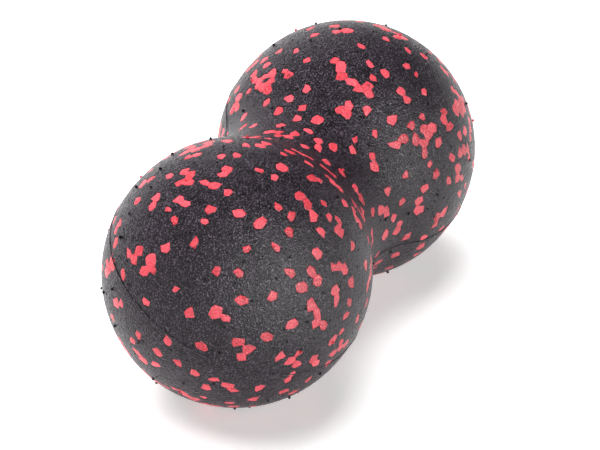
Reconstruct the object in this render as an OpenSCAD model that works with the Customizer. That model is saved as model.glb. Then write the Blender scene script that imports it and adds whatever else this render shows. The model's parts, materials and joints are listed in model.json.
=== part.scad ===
// Twin-lobe massage roller, moulded in one piece from fused foam beads.
// Long axis along X, resting on the XY plane, origin under the middle of the waist.

/* [Moulding] */
// Overall length, end to end
length = 161; // [130:1:220]
// Diameter of each lobe
lobe_d = 80; // [60:1:96]
// How far a lobe's inner half is drawn out towards the waist
shoulder_shift = 1.8; // [0:0.1:4]
// Radius of the concave waist between the lobes
waist_r = 33.6; // [20:0.1:60]
// Angle of the mould's parting plane above level, about the long axis
parting_roll = 25; // [0:1:90]

/* [Coloured beads] */
// Diameter of one fused bead
bead_d = 2.9; // [2:0.1:5]
// How far a bead's centre lies under the skin
bead_sink = 0.4; // [0.1:0.1:0.9]
// Least gap between two coloured beads
bead_gap = 0.1; // [0.05:0.05:1]
// Coloured beads tried, of which those that would overlap are dropped
bead_tries = 900; // [50:10:1000]
// Share of the coloured beads that lie against the one before
bead_cluster = 0.45; // [0:0.05:0.9]
// Seed of the coloured beads' places
bead_seed = 12; // [1:1:99]

/* [Vent pips] */
// Diameter of a pip left by a steam vent
pip_d = 0.9; // [0.5:0.1:2]
// Height of a pip above the skin
pip_h = 0.7; // [0.3:0.1:1.5]
// Least distance between two pips
pip_pitch = 7; // [4:0.5:20]
// Pips tried, of which those that would stand too close are dropped
pip_tries = 330; // [20:10:500]
// Seed of the pips' places
pip_seed = 5; // [1:1:99]
// Bare distance round the two spots that the roller rests on
rest_clear = 8; // [4:0.5:15]

/* [Parting ridge] */
// Width of the ridge along the mould's parting line
ridge_w = 0.5; // [0.3:0.1:1.5]
// Height of the ridge above the skin
ridge_h = 0.35; // [0.1:0.05:1]
// Bare distance between the ridge and a pip
ridge_clear = 1.2; // [0.6:0.1:4]

/* [Hidden] */
$fn = 72;

foam_black = [0.17, 0.16, 0.18];
bead_red = [0.94, 0.31, 0.35];

lobe_r = lobe_d / 2;
end_x = length / 2 - lobe_r;            // centre of a lobe's outer half
shoulder_x = end_x - shoulder_shift;    // centre of a lobe's inner half
widest_x = (end_x + shoulder_x) / 2;    // where the two halves meet
waist_axis = sqrt(pow(lobe_r + waist_r, 2) - pow(shoulder_x, 2));  // centre of the waist's arc
tangent_x = shoulder_x * waist_r / (lobe_r + waist_r);  // where the waist's arc meets a lobe
bead_r = bead_d / 2;
pip_root = pip_h;                       // length of pip inside the skin, cut away
parting_up = [0, -sin(parting_roll), cos(parting_roll)];

// Centre of the lobe half that a place belongs to
function half_centre(a) = a < widest_x ? shoulder_x : end_x;

// Radius of the skin at a place x along the long axis
function skin(x) = let (a = abs(x))
    a < tangent_x ? waist_axis - sqrt(pow(waist_r, 2) - pow(a, 2)) :
    sqrt(pow(lobe_r, 2) - pow(a - half_centre(a), 2));

// Outward direction of the skin at a place x and a turn about the long axis
function outward(x, turn) = let (
        a = abs(x),
        lean = a < tangent_x ? -a / waist_r : (a - half_centre(a)) / lobe_r,
        rad = sqrt(1 - lean * lean))
    [lean * sign(x), rad * cos(turn), rad * sin(turn)];

function on_skin(x, turn) = [x, skin(x) * cos(turn), skin(x) * sin(turn)];

function clear_of(p, others, gap) = len([for (q = others) if (norm(q[2] - p) < gap) 1]) == 0;

// A place is [x, turn, point on the skin]
function place(x, turn) = [x, turn, on_skin(x, turn)];

// One step of a bead's width over the skin, in direction dir
function next_to(from, dir) = let (
        lean = outward(from[0], from[1])[0],
        step = bead_d + bead_gap + 0.02)
    place(from[0] + step * cos(dir) * sqrt(1 - lean * lean),
        from[1] + step * sin(dir) / skin(from[0]) * 180 / PI);

function scatter_beads(draws, i, got) = i >= bead_tries ? got :
    let (d = [for (k = [0 : 3]) draws[4 * i + k]],
        beside = len(got) > 0 && d[0] < bead_cluster,
        p = beside ? next_to(got[len(got) - 1], 360 * d[1]) :
            place((2 * d[2] - 1) * (length / 2 - bead_r), 360 * d[3]),
        fits = abs(p[0]) < length / 2 - bead_r && clear_of(p[2], got, bead_d + bead_gap))
    scatter_beads(draws, i + 1, fits ? concat(got, [p]) : got);

function scatter_pips(draws, i, got) = i >= pip_tries ? got :
    let (p = place((2 * draws[2 * i] - 1) * (length / 2 - pip_d), 360 * draws[2 * i + 1]),
        fits = norm(p[2] - [sign(p[0]) * end_x, 0, -lobe_r]) > rest_clear
            && abs(p[2] * parting_up) > ridge_w / 2 + ridge_clear
            && clear_of(p[2], got, pip_pitch))
    scatter_pips(draws, i + 1, fits ? concat(got, [p]) : got);

beads = scatter_beads(rands(0, 1, 4 * bead_tries, bead_seed), 0, []);
pips = scatter_pips(rands(0, 1, 2 * pip_tries, pip_seed), 0, []);

// The places of a list that lie at one end (-1, 1) and in one mould half (-1, 1)
function in_part(places, end, half) = [for (p = places)
    if (p[0] * end >= tangent_x && p[2] * parting_up * half > 0) p];

function in_waist(places) = [for (p = places) if (abs(p[0]) < tangent_x) p];

// Half of the outline, to be turned about Y; grow moves every face outwards
module half_outline(grow = 0) {
    r = lobe_r + grow;
    joint_y = shoulder_x * (waist_r - grow) / (lobe_r + waist_r);
    for (end = [0, 1]) mirror([0, end]) {
        half_lobe(r, end_x, widest_x, end_x + r);
        half_lobe(r, shoulder_x, joint_y, widest_x);
    }
    difference() {
        translate([0, -joint_y]) square([waist_axis - sqrt(pow(waist_r - grow, 2) - pow(joint_y, 2)), 2 * joint_y]);
        translate([waist_axis, 0]) circle(waist_r - grow);
    }
}

// The slice of a half disc between two heights
module half_lobe(r, centre, low, high) {
    intersection() {
        translate([0, centre]) circle(r);
        translate([0, low]) square([r, high - low]);
    }
}

// The whole moulded shape, with no pockets
module moulded_shape() {
    rotate([0, 90, 0]) rotate_extrude($fn = 240) half_outline($fn = 240);
}

module bead_balls(places) {
    for (p = places) translate(p[2]) stand(outward(p[0], p[1]))
        translate([0, 0, -bead_sink]) sphere(bead_r);
}

module foam_body() {
    color(foam_black) translate([0, 0, lobe_r]) difference() {
        moulded_shape();
        bead_balls(beads);
    }
}

// Beads are flush with the skin, so each is a ball cut flat along it
module red_beads(places) {
    color(bead_red) translate([0, 0, lobe_r])
        for (p = places) translate(p[2]) stand(outward(p[0], p[1])) difference() {
            translate([0, 0, -bead_sink]) sphere(bead_r);
            cylinder(h = bead_d, r = bead_d);
        }
}

module vent_pips(places) {
    color(foam_black) translate([0, 0, lobe_r]) difference() {
        for (p = places) translate(p[2]) stand(outward(p[0], p[1]))
            translate([0, 0, -pip_root]) cylinder(h = pip_h + pip_root, d = pip_d);
        moulded_shape();
    }
}

// Turns +Z to point along a direction
module stand(dir) {
    rotate([0, acos(dir[2]), atan2(dir[1], dir[0])]) children();
}

module parting_ridge() {
    color(foam_black) translate([0, 0, lobe_r]) rotate([parting_roll, 0, 0])
        translate([0, 0, -ridge_w / 2]) linear_extrude(ridge_w) rotate(-90)
            for (side = [0, 1]) mirror([side, 0]) difference() {
                half_outline(ridge_h);
                half_outline();
            }
}

foam_body();
red_beads(in_part(beads, -1, 1));  // red_beads_left_upper
red_beads(in_part(beads, -1, -1));  // red_beads_left_lower
red_beads(in_part(beads, 1, 1));  // red_beads_right_upper
red_beads(in_part(beads, 1, -1));  // red_beads_right_lower
red_beads(in_waist(beads));  // red_beads_waist
vent_pips(in_part(pips, -1, 1));  // vent_pips_left_upper
vent_pips(in_part(pips, -1, -1));  // vent_pips_left_lower
vent_pips(in_part(pips, 1, 1));  // vent_pips_right_upper
vent_pips(in_part(pips, 1, -1));  // vent_pips_right_lower
vent_pips(in_waist(pips));  // vent_pips_waist
parting_ridge();
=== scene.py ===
import json
import math

import bmesh
import bpy
import numpy as np
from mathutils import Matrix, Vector
from mathutils.geometry import delaunay_2d_cdt

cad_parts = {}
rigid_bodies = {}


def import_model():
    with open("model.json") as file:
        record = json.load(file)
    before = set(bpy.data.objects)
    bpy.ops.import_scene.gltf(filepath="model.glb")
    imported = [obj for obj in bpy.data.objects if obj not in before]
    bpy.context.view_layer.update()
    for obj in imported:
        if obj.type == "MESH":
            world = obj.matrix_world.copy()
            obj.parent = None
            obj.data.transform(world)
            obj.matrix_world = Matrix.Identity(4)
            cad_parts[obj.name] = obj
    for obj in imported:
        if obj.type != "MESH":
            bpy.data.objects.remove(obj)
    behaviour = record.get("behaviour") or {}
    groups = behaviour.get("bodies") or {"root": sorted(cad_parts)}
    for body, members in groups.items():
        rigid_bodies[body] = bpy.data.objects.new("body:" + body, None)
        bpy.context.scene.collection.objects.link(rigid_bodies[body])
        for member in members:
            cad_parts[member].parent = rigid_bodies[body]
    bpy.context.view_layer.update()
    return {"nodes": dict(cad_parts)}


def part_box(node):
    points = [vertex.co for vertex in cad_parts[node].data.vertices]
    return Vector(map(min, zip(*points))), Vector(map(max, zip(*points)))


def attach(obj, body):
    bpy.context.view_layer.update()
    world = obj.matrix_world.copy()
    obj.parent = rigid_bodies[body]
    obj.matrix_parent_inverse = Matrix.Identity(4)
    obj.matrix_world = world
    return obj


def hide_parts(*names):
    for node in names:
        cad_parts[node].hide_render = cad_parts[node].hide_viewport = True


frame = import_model()
print("frame loaded:", len(frame["nodes"]), "nodes")

mm = 0.001
touching = 1e-6     # points nearer than this are one point
notZero = 1e-9      # stands in for a distance of nothing, so that it can be divided by
bodyLow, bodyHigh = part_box("foam_body")

# the roller's form: the arcs that the moulding is made of, lengths in metres
form = {
    "lobeRadius": (bodyHigh.z - bodyLow.z) / 2,
    "length": bodyHigh.x - bodyLow.x,
    "shoulderShift": 1.8 * mm,          # how far a lobe's inner half is drawn out
    "waistArc": 33.6 * mm,              # radius of the hollow between the lobes
    "partingRoll": math.radians(25),    # the mould's parting plane, from level
}
form["axisHeight"] = bodyLow.z + form["lobeRadius"]
form["endCentre"] = form["length"] / 2 - form["lobeRadius"]
form["shoulderCentre"] = form["endCentre"] - form["shoulderShift"]
form["widest"] = (form["endCentre"] + form["shoulderCentre"]) / 2
form["waistAxis"] = math.sqrt((form["lobeRadius"] + form["waistArc"]) ** 2 - form["shoulderCentre"] ** 2)
form["tangent"] = form["shoulderCentre"] * form["waistArc"] / (form["lobeRadius"] + form["waistArc"])

# camera: looks along the roller from beyond its left end, degrees and metres
view = {
    "azimuth": -65.3,
    "elevation": 31.5,
    "distance": 1.21,
    "lens": 238,            # in millimetres, as Blender has it
    "sensor": 36,
    "right": 2.1 * mm,      # how far the aim is off the roller's middle
    "down": 4.9 * mm,
    "nearest": 0.05,
    "furthest": 50,
}


# the way from the roller to a camera or a light, from its azimuth and elevation in degrees
def wayTo(azimuth, elevation):
    turn, lift = math.radians(azimuth), math.radians(elevation)
    return Vector((math.sin(turn) * math.cos(lift), -math.cos(turn) * math.cos(lift), math.sin(lift)))


def makeCamera():
    turn = math.radians(view["azimuth"])
    right = Vector((math.cos(turn), math.sin(turn), 0))
    back = wayTo(view["azimuth"], view["elevation"])
    up = back.cross(right)
    data = bpy.data.cameras.new("camera")
    data.lens = view["lens"]
    data.sensor_width = view["sensor"]
    data.clip_start = view["nearest"]
    data.clip_end = view["furthest"]
    camera = bpy.data.objects.new("camera", data)
    bpy.context.scene.collection.objects.link(camera)
    aim = Vector((0, 0, form["axisHeight"])) + right * view["right"] - up * view["down"]
    camera.location = aim + back * view["distance"]
    camera.rotation_euler = back.to_track_quat("Z", "Y").to_euler()
    bpy.context.scene.camera = camera


makeCamera()
print("camera placed")


# a socket that can be used in sums, in a material or in a geometry tree
class Sock:
    def __init__(self, tree, out):
        self.tree = tree
        self.out = out

    def maths(self, operation, *others):
        return self.tree.add("ShaderNodeMath", {"operation": operation}, dict(enumerate((self,) + others)))

    def __add__(self, other):
        return self.maths("ADD", other)

    __radd__ = __add__

    def __sub__(self, other):
        return self.maths("SUBTRACT", other)

    def __rsub__(self, other):
        return (self * -1) + other

    def __mul__(self, other):
        return self.maths("MULTIPLY", other)

    __rmul__ = __mul__

    def __truediv__(self, other):
        return self.maths("DIVIDE", other)

    def __rtruediv__(self, other):
        return self.maths("POWER", -1) * other

    def __pow__(self, other):
        return self.maths("POWER", other)

    def __neg__(self):
        return self * -1

    def __abs__(self):
        return self.maths("ABSOLUTE")

    def __lt__(self, other):
        return self.maths("LESS_THAN", other)

    def __gt__(self, other):
        return self.maths("GREATER_THAN", other)

    def clamped(self):
        sock = self.maths("ADD", 0)
        sock.out.node.use_clamp = True
        return sock

    def between(self, low, high):
        return ((self - low) / (high - low)).clamped()

    def part(self, name):
        return Sock(self.tree, self.out.node.outputs[name])


# adds nodes to one tree: a type, its settings, then values or links by socket name or number
class Nodes:
    def __init__(self, tree):
        self.tree = tree

    def add(self, kind, settings=None, sockets=None, out=0):
        node = self.tree.nodes.new(kind)
        for name, value in (settings or {}).items():
            setattr(node, name, value)
        for name, value in (sockets or {}).items():
            self.feed(node.inputs[name], value)
        return Sock(self, node.outputs[out]) if node.outputs else node

    def feed(self, socket, value):
        if isinstance(value, Sock):
            self.tree.links.new(value.out, socket)
        elif isinstance(value, (list, tuple)) and value and isinstance(value[0], Sock):
            for one in value:
                self.tree.links.new(one.out, socket)
        else:
            socket.default_value = value

    def vector(self, operation, *values, out=0):
        return self.add("ShaderNodeVectorMath", {"operation": operation}, dict(enumerate(values)), out)

    def scaledBy(self, vector, factor):
        return self.add("ShaderNodeVectorMath", {"operation": "SCALE"}, {0: vector, "Scale": factor})

    def attribute(self, name, kind="FLOAT"):
        return self.add("GeometryNodeInputNamedAttribute", {"data_type": kind}, {"Name": name})

    def store(self, geometry, name, value, kind="FLOAT", domain="POINT"):
        return self.add("GeometryNodeStoreNamedAttribute", {"data_type": kind, "domain": domain},
                        {"Geometry": geometry, "Name": name, "Value": value})


# a geometry tree with named inputs; inputs is {name: (socket type, value)}
def geometryTree(name, inputs):
    group = bpy.data.node_groups.new(name, "GeometryNodeTree")
    group.interface.new_socket("Geometry", in_out="INPUT", socket_type="NodeSocketGeometry")
    group.interface.new_socket("Geometry", in_out="OUTPUT", socket_type="NodeSocketGeometry")
    for label, (kind, value) in inputs.items():
        socket = group.interface.new_socket(label, in_out="INPUT", socket_type=kind)
        if value is not None:
            socket.default_value = value
    tree = Nodes(group)
    source = group.nodes.new("NodeGroupInput")
    tree.inputs = {s.name: Sock(tree, s) for s in source.outputs if s.name}
    return tree


def closeTree(tree, geometry, material):
    geometry = tree.add("GeometryNodeRealizeInstances", None, {"Geometry": geometry})
    geometry = tree.add("GeometryNodeSetMaterial", None, {"Geometry": geometry, "Material": material})
    tree.add("NodeGroupOutput", None, {"Geometry": geometry})


# runs a tree on a mesh and gives back a plain object with nothing live on it
def grow(name, mesh, tree, values):
    source = bpy.data.objects.new(name + "Source", mesh)
    bpy.context.scene.collection.objects.link(source)
    modifier = source.modifiers.new("grow", "NODES")
    modifier.node_group = tree.tree
    for socket in tree.tree.interface.items_tree:
        if socket.in_out == "INPUT" and socket.name in values:
            modifier[socket.identifier] = values[socket.name]
    depsgraph = bpy.context.evaluated_depsgraph_get()
    made = bpy.data.meshes.new_from_object(source.evaluated_get(depsgraph), depsgraph=depsgraph)
    bpy.data.objects.remove(source)
    made.name = name
    piece = bpy.data.objects.new(name, made)
    bpy.context.scene.collection.objects.link(piece)
    return piece


# foot and outward direction of the nearest skin point, for an n by 3 array of points
def skinFoot(points):
    across = points[:, 1:] - np.array([0, form["axisHeight"]])
    rad = np.maximum(np.linalg.norm(across, axis=1), notZero)
    radial = across / rad[:, None]
    side = np.where(points[:, 0] < 0, -1.0, 1.0)
    along = np.abs(points[:, 0])
    inWaist = along / form["shoulderCentre"] + rad / form["waistAxis"] < 1
    centre = np.where(along < form["widest"], form["shoulderCentre"], form["endCentre"])
    offset = np.stack([along - centre, rad], 1)
    lobeOut = offset / np.linalg.norm(offset, axis=1)[:, None]
    lobeFoot = lobeOut * form["lobeRadius"] + np.stack([centre, 0 * centre], 1)
    offset = np.stack([along, rad - form["waistAxis"]], 1)
    waistOut = -offset / np.linalg.norm(offset, axis=1)[:, None]
    waistFoot = np.array([0, form["waistAxis"]]) - waistOut * form["waistArc"]
    foot = np.where(inWaist[:, None], waistFoot, lobeFoot)
    out = np.where(inWaist[:, None], waistOut, lobeOut)
    footAt = np.column_stack([side * foot[:, 0], radial * foot[:, 1:]])
    footAt[:, 2] += form["axisHeight"]
    return footAt, np.column_stack([side * out[:, 0], radial * out[:, 1:]])


# the skin laid flat round its right end, stretched so that small circles stay circles
def evenPlace(points):
    leastAngle = 1e-6
    across = points[:, 1:] - np.array([0, form["axisHeight"]])
    along = np.abs(points[:, 0])
    reach, hollow = form["waistAxis"], form["waistArc"]
    turn = np.arcsin(np.clip(np.minimum(along, form["tangent"]) / hollow, 0, 1))
    root = math.sqrt(reach ** 2 - hollow ** 2)
    u = 2 * hollow / root * np.arctan(math.sqrt((reach + hollow) / (reach - hollow)) * np.tan(turn / 2))

    def lobeStretch(low, high, centre):
        def logTan(x):
            angle = np.arccos(np.clip((x - centre) / form["lobeRadius"], -1, 1))
            return np.log(np.tan(np.maximum(angle, leastAngle) / 2))

        return logTan(np.full_like(along, low)) - logTan(np.clip(along, low, high))

    u = u + lobeStretch(form["tangent"], form["widest"], form["shoulderCentre"])
    u = u + lobeStretch(form["widest"], form["length"] / 2, form["endCentre"])
    u = u * np.sign(points[:, 0])
    angle = np.arctan2(across[:, 1], across[:, 0])
    return np.column_stack([np.exp(-u) * np.cos(angle), np.exp(-u) * np.sin(angle)])


# the middle of each separate solid in a CAD node
def solidCentres(node):
    shape = bmesh.new()
    shape.from_mesh(frame["nodes"][node].data)
    bmesh.ops.remove_doubles(shape, verts=shape.verts, dist=touching)
    shape.verts.ensure_lookup_table()
    seen = set()
    middles = []
    for first in shape.verts:
        if first.index in seen:
            continue
        seen.add(first.index)
        island, edge = [], [first]
        while edge:
            vert = edge.pop()
            island.append(vert.co)
            for link in vert.link_edges:
                other = link.other_vert(vert)
                if other.index not in seen:
                    seen.add(other.index)
                    edge.append(other)
        middles.append(sum((Vector(co) for co in island), Vector()) / len(island))
    shape.free()
    return np.array([list(m) for m in middles])


# bead net: one point for each fused bead, joined to the beads that it touches
net = {
    "closest": 1.95 * mm,
    "tries": 75000,
    "evenShare": 0.3,       # how far a black bead moves to the middle of its neighbours
    "redShare": 0.142,
    "choices": 5,           # the more choices, the more evenly the added red beads lie
    "seed": 7,              # and the next two seeds, for the beads' tones and the added reds
}
redNodes = [n for n in sorted(frame["nodes"]) if n.startswith("red_beads")]


# how far the skin is from the long axis, at places along it; also the rise of the waist's arc there
def skinRadius(along):
    centre = np.where(along < form["widest"], form["shoulderCentre"], form["endCentre"])
    lobe = np.sqrt(np.maximum(form["lobeRadius"] ** 2 - (along - centre) ** 2, 0))
    slope = np.sqrt(form["waistArc"] ** 2 - np.minimum(along, form["tangent"]) ** 2)
    return np.where(along < form["tangent"], form["waistAxis"] - slope, lobe), slope


# places spread evenly over the skin
def skinSamples(count, rng):
    x = rng.uniform(-form["length"] / 2, form["length"] / 2, count)
    turn = rng.uniform(0, 2 * math.pi, count)
    along = np.abs(x)
    rad, slope = skinRadius(along)
    # a strip of the waist has less skin than a strip of a lobe of the same width
    share = np.where(along < form["tangent"], rad / slope * form["waistArc"] / form["lobeRadius"], 1)
    keep = rng.uniform(0, 1, count) < share
    points = np.column_stack([x, rad * np.cos(turn), rad * np.sin(turn) + form["axisHeight"]])
    return points[keep]


def scatterBeads():
    rng = np.random.RandomState(net["seed"])
    places, kinds = [], []
    cells = {}
    closest = net["closest"]

    def cellOf(p):
        return tuple(int(math.floor(c / closest)) for c in p)

    def put(p, kind):
        cells.setdefault(cellOf(p), []).append(p)
        places.append(p)
        kinds.append(kind)

    def isFree(p):
        a, b, c = cellOf(p)
        for i in (a - 1, a, a + 1):
            for j in (b - 1, b, b + 1):
                for k in (c - 1, c, c + 1):
                    for q in cells.get((i, j, k), ()):
                        if (p[0] - q[0]) ** 2 + (p[1] - q[1]) ** 2 + (p[2] - q[2]) ** 2 < closest ** 2:
                            return False
        return True

    # the bead at the left end comes first: the net is closed round it
    put((-form["length"] / 2, 0.0, form["axisHeight"]), 0)
    for number, node in enumerate(redNodes, 1):
        feet, _ = skinFoot(solidCentres(node))
        for foot in feet:
            put(tuple(foot), number)
    for p in skinSamples(net["tries"], rng):
        p = tuple(p)
        if isFree(p):
            put(p, 0)
    return np.array(places), np.array(kinds)


def joinBeads(places):
    flat = evenPlace(places[1:])
    _, _, faces, origins, _, _ = delaunay_2d_cdt([Vector(p) for p in flat], [], [], 0, 0, True)
    number = [o[0] + 1 if o else -1 for o in origins]
    faces = [[number[i] for i in face] for face in faces]
    # the beads on the rim of the flattened net all touch the end bead
    once = {}
    for face in faces:
        for a, b in zip(face, face[1:] + face[:1]):
            if (b, a) in once:
                once.pop((b, a))
            else:
                once.setdefault((a, b), True)
    faces += [[b, a, 0] for a, b in once]
    faces = np.array(faces)
    corners = places[faces]
    normal = np.cross(corners[:, 1] - corners[:, 0], corners[:, 2] - corners[:, 0])
    _, out = skinFoot(corners.mean(1))
    inward = (normal * out).sum(1) < 0
    faces[inward] = faces[inward][:, ::-1]
    return faces


# the red beads and the end bead stay where they are
def evenOut(places, kinds, faces):
    total = np.zeros_like(places)
    count = np.zeros(len(places))
    for a, b in ((0, 1), (1, 2), (2, 0)):
        np.add.at(total, faces[:, a], places[faces[:, b]])
        np.add.at(count, faces[:, a], 1)
    middle = total / count[:, None]
    moved, _ = skinFoot(places + (middle - places) * net["evenShare"])
    isFree = (kinds == 0) & (np.arange(len(places)) > 0)
    return np.where(isFree[:, None], moved, places)


# turns black beads red, each time the one of a few random ones that is furthest from any red bead
def reddenMore(places, kinds):
    rng = np.random.RandomState(net["seed"] + 2)
    missing = max(int(net["redShare"] * len(places)) - int((kinds > 0).sum()), 0)
    reds = places[kinds > 0]
    picked = []
    for _ in range(missing):
        few = rng.choice(np.nonzero(kinds == 0)[0][1:], net["choices"], replace=False)
        gaps = np.linalg.norm(places[few][:, None] - reds[None], axis=2).min(1)
        best = few[int(np.argmax(gaps))]
        picked.append(best)
        reds = np.vstack([reds, places[best]])
    picked = np.array(picked, dtype=int)
    partingUp = np.array([0, -math.sin(form["partingRoll"]), math.cos(form["partingRoll"])])
    spot = places[picked]
    isUpper = (spot - np.array([0, 0, form["axisHeight"]])) @ partingUp > 0
    group = {name: number for number, name in enumerate(redNodes, 1)}
    left = np.where(isUpper, group["red_beads_left_upper"], group["red_beads_left_lower"])
    right = np.where(isUpper, group["red_beads_right_upper"], group["red_beads_right_lower"])
    number = np.where(spot[:, 0] < 0, left, right)
    number[np.abs(spot[:, 0]) < form["tangent"]] = group["red_beads_waist"]
    kinds = kinds.copy()
    kinds[picked] = number
    print("red beads added between the CAD's:", len(picked))
    return kinds


places, kinds = scatterBeads()
faces = joinBeads(places)
places = evenOut(places, kinds, faces)
kinds = reddenMore(places, kinds)
netMesh = bpy.data.meshes.new("beadNet")
netMesh.from_pydata(places.tolist(), [], faces.tolist())
rng = np.random.RandomState(net["seed"] + 1)
netMesh.attributes.new("kind", "INT", "POINT").data.foreach_set("value", kinds.astype(np.int32))
netMesh.attributes.new("tone", "FLOAT", "POINT").data.foreach_set("value", rng.uniform(0, 1, len(places)))
netMesh.attributes.new("lift", "FLOAT", "POINT").data.foreach_set("value", rng.uniform(-1, 1, len(places)))
print("bead net:", len(places), "beads,", int((kinds > 0).sum()), "of them red")

# one bead in the skin: lengths in metres, shares of the bead's own size
bead = {
    "grooveDepth": 0.035 * mm,
    "flatShare": 0.84,          # the rest is the slope into the groove
    "bulge": 0.02 * mm,
    "bulgeReach": 1.7 * mm,
    "liftRange": 0.01 * mm,     # some beads stand a little proud, others lie a little low
    "wander": 0.55 * mm,        # how far a corner of a bead's outline may be moved
    "pocketDepth": 1.8 * mm,
    "pocketPlay": 0.995,        # a red bead's share of its pocket
    "rootShare": 0.8,
    "rootDepthShare": 0.95,     # a red bead's root ends just above the pocket's floor
}


# geometry nodes for the foot of a point on the skin and the way out of it
def skinNodes(tree):
    size = tree.inputs
    xyz = tree.add("ShaderNodeSeparateXYZ", None, {0: tree.add("GeometryNodeInputPosition")})
    x, y, z = xyz, xyz.part("Y"), xyz.part("Z") - size["Axis height"]
    rad = (y * y + z * z) ** 0.5
    side = x.maths("SIGN")
    along = abs(x)
    inWaist = (along / size["Shoulder centre"] + rad / size["Waist axis"]) < 1
    isOuter = along > size["Widest"]
    centre = size["Shoulder centre"] + isOuter * (size["End centre"] - size["Shoulder centre"])
    run = along - centre
    reach = (run * run + rad * rad) ** 0.5
    drop = rad - size["Waist axis"]
    hollow = (along * along + drop * drop) ** 0.5
    lobeOut = (run / reach, rad / reach)
    waistOut = (-(along / hollow), -(drop / hollow))
    lobeFoot = (centre + lobeOut[0] * size["Lobe radius"], lobeOut[1] * size["Lobe radius"])
    waistFoot = (-(waistOut[0] * size["Waist arc"]), size["Waist axis"] - waistOut[1] * size["Waist arc"])
    out = [a + inWaist * (b - a) for a, b in zip(lobeOut, waistOut)]
    foot = [a + inWaist * (b - a) for a, b in zip(lobeFoot, waistFoot)]

    def turned(pair, lift):
        return tree.add("ShaderNodeCombineXYZ", None, {
            0: side * pair[0], 1: pair[1] * y / rad, 2: pair[1] * z / rad + lift})

    return turned(foot, size["Axis height"]), turned(out, 0)


formInputs = {
    "Lobe radius": ("NodeSocketFloat", form["lobeRadius"]),
    "End centre": ("NodeSocketFloat", form["endCentre"]),
    "Shoulder centre": ("NodeSocketFloat", form["shoulderCentre"]),
    "Widest": ("NodeSocketFloat", form["widest"]),
    "Waist arc": ("NodeSocketFloat", form["waistArc"]),
    "Waist axis": ("NodeSocketFloat", form["waistAxis"]),
    "Axis height": ("NodeSocketFloat", form["axisHeight"]),
}


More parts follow.
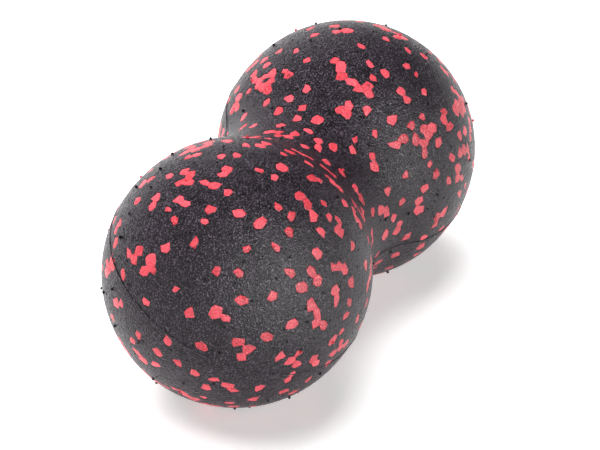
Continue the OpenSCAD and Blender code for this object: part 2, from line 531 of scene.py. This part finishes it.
# each face of the net's dual is one bead: a groove round it, a flat, and a pocket or a root
def beadTree():
    tree = geometryTree("beadSkin", {
        **formInputs,
        "Kind": ("NodeSocketInt", 0),
        "Seed": ("NodeSocketInt", net["seed"]),
        "Groove depth": ("NodeSocketFloat", bead["grooveDepth"]),
        "Flat share": ("NodeSocketFloat", bead["flatShare"]),
        "Bulge": ("NodeSocketFloat", bead["bulge"]),
        "Bulge reach": ("NodeSocketFloat", bead["bulgeReach"]),
        "Lift range": ("NodeSocketFloat", bead["liftRange"]),
        "Wander": ("NodeSocketFloat", bead["wander"]),
        "Pocket depth": ("NodeSocketFloat", bead["pocketDepth"]),
        "Pocket play": ("NodeSocketFloat", bead["pocketPlay"]),
        "Root share": ("NodeSocketFloat", bead["rootShare"]),
        "Root depth share": ("NodeSocketFloat", bead["rootDepthShare"]),
        "Material": ("NodeSocketMaterial", None),
    })
    size = tree.inputs
    dual = tree.add("GeometryNodeDualMesh", None, {"Mesh": size["Geometry"]})
    where = tree.add("GeometryNodeInputPosition")
    # the corners wander, so that no two beads have the same outline
    shake = tree.add("FunctionNodeRandomValue", {"data_type": "FLOAT_VECTOR"}, {
        0: (-1.0, -1.0, -1.0), 1: (1.0, 1.0, 1.0), "Seed": size["Seed"]}, 0)
    dual = tree.add("GeometryNodeSetPosition", None, {
        "Geometry": dual, "Offset": tree.scaledBy(shake, size["Wander"])})
    dual = tree.store(dual, "middle", where, "FLOAT_VECTOR", "FACE")
    kind = tree.attribute("kind", "INT")

    def extruded(mesh, selection, single):
        made = tree.add("GeometryNodeExtrudeMesh", {"mode": "FACES"}, {
            "Mesh": mesh, "Selection": selection, "Offset Scale": 0.0, "Individual": single})
        return made, made.part("Top"), made.part("Side")

    def scaled(mesh, selection, share):
        return tree.add("GeometryNodeScaleElements", {"domain": "FACE"}, {
            "Geometry": mesh, "Selection": selection, "Scale": share})

    # black skin: red faces sink into shared pockets, the others get their groove
    sunk, pocket, wall = extruded(dual, kind > 0, False)
    flats, flat, _ = extruded(sunk, 1 - (pocket + wall).clamped(), True)
    flats = scaled(flats, flat, size["Flat share"])
    floorRise = pocket * (size["Groove depth"] - size["Pocket depth"])
    black = tree.store(flats, "rise", (1 - flat) * -size["Groove depth"] + floorRise)

    # red beads: each by itself, with a groove at its rim and a root that narrows
    mine = tree.add("FunctionNodeCompare", {"data_type": "INT", "operation": "EQUAL"}, {
        2: kind, 3: size["Kind"]})
    loose = tree.add("GeometryNodeSeparateGeometry", {"domain": "FACE"}, {
        "Geometry": dual, "Selection": mine})
    loose = tree.add("GeometryNodeSplitEdges", None, {"Mesh": loose})
    loose = scaled(loose, True, size["Pocket play"])
    caps, cap, _ = extruded(loose, True, True)
    caps = scaled(caps, cap, size["Flat share"])
    caps = tree.store(caps, "rise", (1 - cap) * -size["Groove depth"])
    roots, root, _ = extruded(loose, True, True)
    roots = scaled(roots, root, size["Root share"])
    rootRise = (1 - root) * -size["Groove depth"] - root * size["Pocket depth"] * size["Root depth share"]
    roots = tree.store(roots, "rise", rootRise)
    roots = tree.add("GeometryNodeFlipFaces", None, {"Mesh": roots})
    red = tree.add("GeometryNodeJoinGeometry", None, {"Geometry": [caps, roots]})
    red = tree.add("GeometryNodeMergeByDistance", None, {"Geometry": red, "Distance": touching})

    mesh = tree.add("GeometryNodeSwitch", {"input_type": "GEOMETRY"}, {
        "Switch": size["Kind"] > 0, "False": black, "True": red})
    # the outlines stay as they are, and only the tops are rounded
    rise = tree.attribute("rise")
    rim = tree.add("FunctionNodeCompare", {"operation": "EQUAL"}, {
        0: rise, 1: -size["Groove depth"], "Epsilon": touching})
    mesh = tree.add("GeometryNodeSubdivisionSurface", None, {
        "Mesh": mesh, "Level": 1, "Edge Crease": rim, "Vertex Crease": rim})
    foot, out = skinNodes(tree)
    onTop = rise.between(-size["Groove depth"], 0)
    far = tree.vector("DISTANCE", where, tree.attribute("middle", "FLOAT_VECTOR"), out=1)
    dome = (1 - (far / size["Bulge reach"]) ** 2) * size["Bulge"]
    height = rise + onTop * (dome + tree.attribute("lift") * size["Lift range"])
    place = tree.vector("ADD", foot, tree.scaledBy(out, height))
    mesh = tree.add("GeometryNodeSetPosition", None, {"Geometry": mesh, "Position": place})
    mesh = tree.add("GeometryNodeSetShadeSmooth", None, {"Geometry": mesh})
    closeTree(tree, mesh, size["Material"])
    return tree


def newMaterial(name):
    material = bpy.data.materials.new(name)
    material.use_nodes = True
    material.node_tree.nodes.clear()
    return material, Nodes(material.node_tree)


def finishMaterial(nodes, shader):
    nodes.add("ShaderNodeOutputMaterial", None, {"Surface": shader})


# foam finishes: scales for each metre, lengths in metres, the rest are shares
foam = {
    "grainScale": 1900.0,
    "grainDepth": 0.42 * mm,
    "speckFrom": 0.38,      # grain below this is dark, and above the next is a full speck
    "speckTo": 0.66,
    "roughest": 0.46,
    "sparkle": 0.24,        # how much smoother a full speck is
}
blackLook = {
    "dark": (0.0016, 0.0010, 0.0018, 1),
    "pale": (0.105, 0.080, 0.109, 1),
    "beadShare": 0.08,
    "speckShare": 0.95,
    "speckPower": 4.2,
    "patchShare": 0.04,
    "patchScale": 130.0,
    "pitScale": 260.0,
    "pitInside": 0.07,
    "pitOutside": 0.12,
    "pitRough": 0.95,
    "pitDepth": 0.8,
    "gloss": 0.15,
}
redLook = {
    "dark": (0.46, 0.016, 0.030, 1),
    "pale": (0.98, 0.115, 0.155, 1),
    "beadShare": 0.45,
    "speckShare": 0.6,
    "gloss": 0.25,
}


# the grain that both finishes share: where it lies, each bead's own tone, the grain and its specks
def foamGrain(nodes):
    place = nodes.add("ShaderNodeTexCoord", None, None, "Object")
    tone = nodes.add("ShaderNodeAttribute", {"attribute_name": "tone"}, None, "Fac")
    grain = nodes.add("ShaderNodeTexNoise", None, {
        "Vector": place, "Scale": foam["grainScale"], "Detail": 1.0, "Roughness": 0.8})
    return place, tone, grain, grain.between(foam["speckFrom"], foam["speckTo"])


def foamShader(nodes, look, shade, rough, height):
    colour = nodes.add("ShaderNodeMix", {"data_type": "RGBA"}, {
        0: shade, 6: look["dark"], 7: look["pale"]}, 2)
    bump = nodes.add("ShaderNodeBump", None, {
        "Strength": 1.0, "Distance": foam["grainDepth"], "Height": height})
    finishMaterial(nodes, nodes.add("ShaderNodeBsdfPrincipled", None, {
        "Base Color": colour, "Roughness": rough, "Normal": bump, "Specular IOR Level": look["gloss"]}))


# black bead foam: matt skin, with a fine sparkle where its cells catch the light
def blackFoam():
    material, nodes = newMaterial("blackFoam")
    look = blackLook
    place, tone, grain, speck = foamGrain(nodes)
    patch = nodes.add("ShaderNodeTexNoise", None, {
        "Vector": place, "Scale": look["patchScale"], "Detail": 2.0})
    # tiny pits, left where beads didn't quite close up; the bump sinks them a little, and their colour is
    # taken down to the darkest black as painted shade inside the holes
    pits = nodes.add("ShaderNodeTexVoronoi", None, {"Vector": place, "Scale": look["pitScale"]}, "Distance")
    unpitted = pits.between(look["pitInside"], look["pitOutside"])
    specks = speck ** look["speckPower"] * look["speckShare"]
    # painted shade: multiplying by unpitted drops the colour to the dark end inside the pits, in place of
    # the shade in the holes
    shade = (tone * look["beadShare"] + specks + patch * look["patchShare"]).clamped() * unpitted
    smoothed = (look["pitRough"] - foam["roughest"]) + speck * foam["sparkle"]
    rough = look["pitRough"] - smoothed * unpitted
    foamShader(nodes, look, shade, rough, grain + unpitted * look["pitDepth"])
    return material


# coral red bead foam: the same skin, paler where its cells catch the light
def redFoam():
    material, nodes = newMaterial("redFoam")
    _, tone, grain, speck = foamGrain(nodes)
    shade = (tone * redLook["beadShare"] + speck * redLook["speckShare"]).clamped()
    foamShader(nodes, redLook, shade, foam["roughest"] - speck * foam["sparkle"], grain)
    return material


blackFoamFinish = blackFoam()
redFoamFinish = redFoam()
beads = beadTree()
foamBody = grow("foamBody", netMesh.copy(), beads, {"Kind": 0, "Material": blackFoamFinish})
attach(foamBody, "root")
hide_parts("foam_body")
print("foam body:", len(foamBody.data.polygons), "faces")


def pieceName(node):
    words = node.split("_")
    return words[0] + "".join(w.capitalize() for w in words[1:])


for number, node in enumerate(redNodes, 1):
    redPiece = grow(pieceName(node), netMesh.copy(), beads, {"Kind": number, "Material": redFoamFinish})
    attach(redPiece, "root")
    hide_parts(node)
    print(redPiece.name, len(redPiece.data.polygons), "faces")

# vent pips: nubs that stand on the skin, lengths in metres
pip = {
    "radius": 0.46 * mm,
    "height": 0.7 * mm,
    "root": 0.25 * mm,          # how far a pip goes into the skin
    "sides": 10,
    "rings": 6,
    "tipFrom": 0.55,            # share of the length where the tip starts to round
    "tipPower": 2.2,
    "tipTaper": 0.72,
    "least": (0.85, 0.85, 0.75),
    "most": (1.12, 1.12, 1.1),
    "seed": 4,
}
pipNodes = [n for n in sorted(frame["nodes"]) if n.startswith("vent_pips")]


def pipTree():
    tree = geometryTree("ventPips", {
        "Radius": ("NodeSocketFloat", pip["radius"]),
        "Height": ("NodeSocketFloat", pip["height"]),
        "Root": ("NodeSocketFloat", pip["root"]),
        "Sides": ("NodeSocketInt", pip["sides"]),
        "Rings": ("NodeSocketInt", pip["rings"]),
        "Least size": ("NodeSocketVector", pip["least"]),
        "Most size": ("NodeSocketVector", pip["most"]),
        "Seed": ("NodeSocketInt", pip["seed"]),
        "Material": ("NodeSocketMaterial", None),
    })
    size = tree.inputs
    low = tree.add("ShaderNodeCombineXYZ", None, {2: -size["Root"]})
    top = tree.add("ShaderNodeCombineXYZ", None, {2: size["Height"]})
    line = tree.add("GeometryNodeCurvePrimitiveLine", None, {"Start": low, "End": top})
    line = tree.add("GeometryNodeResampleCurve", None, {"Curve": line, "Count": size["Rings"]})
    share = tree.add("GeometryNodeSplineParameter")
    # straight sides, then a rounded tip
    girth = (1 - share.between(pip["tipFrom"], 1.0) ** pip["tipPower"] * pip["tipTaper"]) * size["Radius"]
    ring = tree.add("GeometryNodeCurvePrimitiveCircle", None, {"Resolution": size["Sides"], "Radius": 1.0})
    nub = tree.add("GeometryNodeCurveToMesh", None, {
        "Curve": line, "Profile Curve": ring, "Scale": girth, "Fill Caps": True})
    out = tree.attribute("out", "FLOAT_VECTOR")
    stretch = tree.add("FunctionNodeRandomValue", {"data_type": "FLOAT_VECTOR"}, {
        0: size["Least size"], 1: size["Most size"], "Seed": size["Seed"]}, 0)
    turn = tree.add("FunctionNodeAlignRotationToVector", {"axis": "Z"}, {"Vector": out})
    spots = tree.add("GeometryNodeInstanceOnPoints", None, {
        "Points": size["Geometry"], "Instance": nub, "Rotation": turn, "Scale": stretch})
    spots = tree.add("GeometryNodeSetShadeSmooth", None, {"Geometry": spots})
    closeTree(tree, spots, size["Material"])
    return tree


def pipMesh(name, spots):
    feet, out = skinFoot(spots)
    mesh = bpy.data.meshes.new(name)
    mesh.from_pydata(feet.tolist(), [], [])
    mesh.attributes.new("out", "FLOAT_VECTOR", "POINT").data.foreach_set("vector", out.ravel())
    return mesh


pips = pipTree()
onRed = []
for node in pipNodes:
    spots = solidCentres(node)
    nearest = np.array([int(np.argmin(((places - s) ** 2).sum(1))) for s in spots])
    isOnRed = kinds[nearest] > 0
    onRed.append(spots[isOnRed])
    piece = grow(pieceName(node), pipMesh(node, spots[~isOnRed]), pips, {"Material": blackFoamFinish})
    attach(piece, "root")
    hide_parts(node)
    print(piece.name, int((~isOnRed).sum()), "pips")
redSpots = pipMesh("redPips", np.concatenate(onRed))
redPips = grow("ventPipsOnRedBeads", redSpots, pips, {"Material": redFoamFinish})
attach(redPips, "root")
print("pips on red beads:", sum(len(s) for s in onRed))

# parting ridge: a low line of foam along the mould's parting line, lengths in metres
ridge = {
    "width": 0.45 * mm,
    "height": 0.28 * mm,
    "step": 0.6 * mm,
    "sides": 8,
    "waver": 0.35,          # how much thinner it gets in places
    "waverScale": 350.0,
    "waverFrom": 0.35,
    "waverTo": 0.7,
}


def ridgeLine():
    across = math.cos(form["partingRoll"]), math.sin(form["partingRoll"])
    count = int(2 * (form["length"] + 2 * form["lobeRadius"]) / ridge["step"])
    x = form["length"] / 2 * np.cos(np.linspace(0, 2 * math.pi, count, endpoint=False))
    side = np.where(np.arange(count) < count / 2, 1.0, -1.0)
    rad = skinRadius(np.abs(x))[0] * side
    return np.column_stack([x, rad * across[0], rad * across[1] + form["axisHeight"]])


def ridgeTree():
    tree = geometryTree("partingRidge", {
        "Width": ("NodeSocketFloat", ridge["width"]),
        "Height": ("NodeSocketFloat", ridge["height"]),
        "Sides": ("NodeSocketInt", ridge["sides"]),
        "Waver": ("NodeSocketFloat", ridge["waver"]),
        "Material": ("NodeSocketMaterial", None),
    })
    size = tree.inputs
    line = tree.add("GeometryNodeMeshToCurve", None, {"Mesh": size["Geometry"]})
    where = tree.add("GeometryNodeInputPosition")
    noise = tree.add("ShaderNodeTexNoise", None, {
        "Vector": where, "Scale": ridge["waverScale"], "Detail": 2.0})
    girth = 1 - size["Waver"] * noise.between(ridge["waverFrom"], ridge["waverTo"])
    ring = tree.add("GeometryNodeCurvePrimitiveCircle", None, {"Resolution": size["Sides"], "Radius": 1.0})
    thick = tree.add("ShaderNodeCombineXYZ", None, {0: size["Width"] / 2, 1: size["Height"], 2: 1.0})
    ring = tree.add("GeometryNodeTransform", None, {"Geometry": ring, "Scale": thick})
    tube = tree.add("GeometryNodeCurveToMesh", None, {
        "Curve": line, "Profile Curve": ring, "Scale": girth, "Fill Caps": False})
    tube = tree.add("GeometryNodeSetShadeSmooth", None, {"Geometry": tube})
    closeTree(tree, tube, size["Material"])
    return tree


ridgePoints = ridgeLine()
ridgeMesh = bpy.data.meshes.new("ridgeLine")
ridgeSteps = [(i, (i + 1) % len(ridgePoints)) for i in range(len(ridgePoints))]
ridgeMesh.from_pydata(ridgePoints.tolist(), ridgeSteps, [])
partingRidge = grow("partingRidge", ridgeMesh, ridgeTree(), {"Material": blackFoamFinish})
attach(partingRidge, "root")
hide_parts("parting_ridge")
print("parting ridge:", len(partingRidge.data.polygons), "faces")


# floor: plain and white, with a little light of its own that softens the shade on it
ground = {
    "half": 4.0,
    "hazeScale": 3.0,
    "dark": (0.93, 0.93, 0.93, 1),
    "pale": (0.95, 0.95, 0.95, 1),
    "rough": 0.9,
    "gloss": 0.1,
    "glow": 0.50,
}


def makeFloor():
    material, nodes = newMaterial("floorWhite")
    place = nodes.add("ShaderNodeTexCoord", None, None, "Object")
    haze = nodes.add("ShaderNodeTexNoise", None, {"Vector": place, "Scale": ground["hazeScale"]})
    colour = nodes.add("ShaderNodeMix", {"data_type": "RGBA"}, {
        0: haze, 6: ground["dark"], 7: ground["pale"]}, 2)
    finishMaterial(nodes, nodes.add("ShaderNodeBsdfPrincipled", None, {
        "Base Color": colour, "Roughness": ground["rough"], "Specular IOR Level": ground["gloss"],
        "Emission Color": (1, 1, 1, 1), "Emission Strength": ground["glow"]}))
    mesh = bpy.data.meshes.new("floor")
    half = ground["half"]
    corners = [(-half, -half, 0), (half, -half, 0), (half, half, 0), (-half, half, 0)]
    mesh.from_pydata(corners, [], [(0, 1, 2, 3)])
    mesh.materials.append(material)
    floor = bpy.data.objects.new("floor", mesh)
    bpy.context.scene.collection.objects.link(floor)


# light boxes: place round the roller in degrees and metres, size in metres, power in watts; the soft
# one lights the floor and the colours, the others only make the gloss
lights = {
    "sideBox": {"azimuth": -22, "elevation": 18, "distance": 1.2, "size": 0.30, "power": 62, "soft": False},
    "leftBox": {"azimuth": -106, "elevation": 28, "distance": 0.7, "size": 0.25, "power": 3, "soft": False},
    "backBox": {"azimuth": 140, "elevation": 16, "distance": 1.6, "size": 1.8, "power": 14, "soft": False},
    "overhead": {"azimuth": 178, "elevation": 74, "distance": 1.3, "size": 1.5, "power": 44, "soft": True},
}
skyStrength = 0.08


def makeLights():
    middle = Vector((0, 0, form["axisHeight"]))
    for name, box in lights.items():
        way = wayTo(box["azimuth"], box["elevation"])
        data = bpy.data.lights.new(name, "AREA")
        data.size = box["size"]
        data.energy = box["power"]
        lamp = bpy.data.objects.new(name, data)
        bpy.context.scene.collection.objects.link(lamp)
        lamp.visible_glossy = not box["soft"]
        lamp.visible_diffuse = box["soft"]
        lamp.location = middle + way * box["distance"]
        lamp.rotation_euler = way.to_track_quat("Z", "Y").to_euler()
    world = bpy.data.worlds.new("studio")
    world.use_nodes = True
    sky = world.node_tree.nodes["Background"]
    sky.inputs["Color"].default_value = (1, 1, 1, 1)
    sky.inputs["Strength"].default_value = skyStrength
    bpy.context.scene.world = world
    bpy.context.scene.view_settings.view_transform = "Standard"


makeFloor()
makeLights()
print("floor and lights placed")
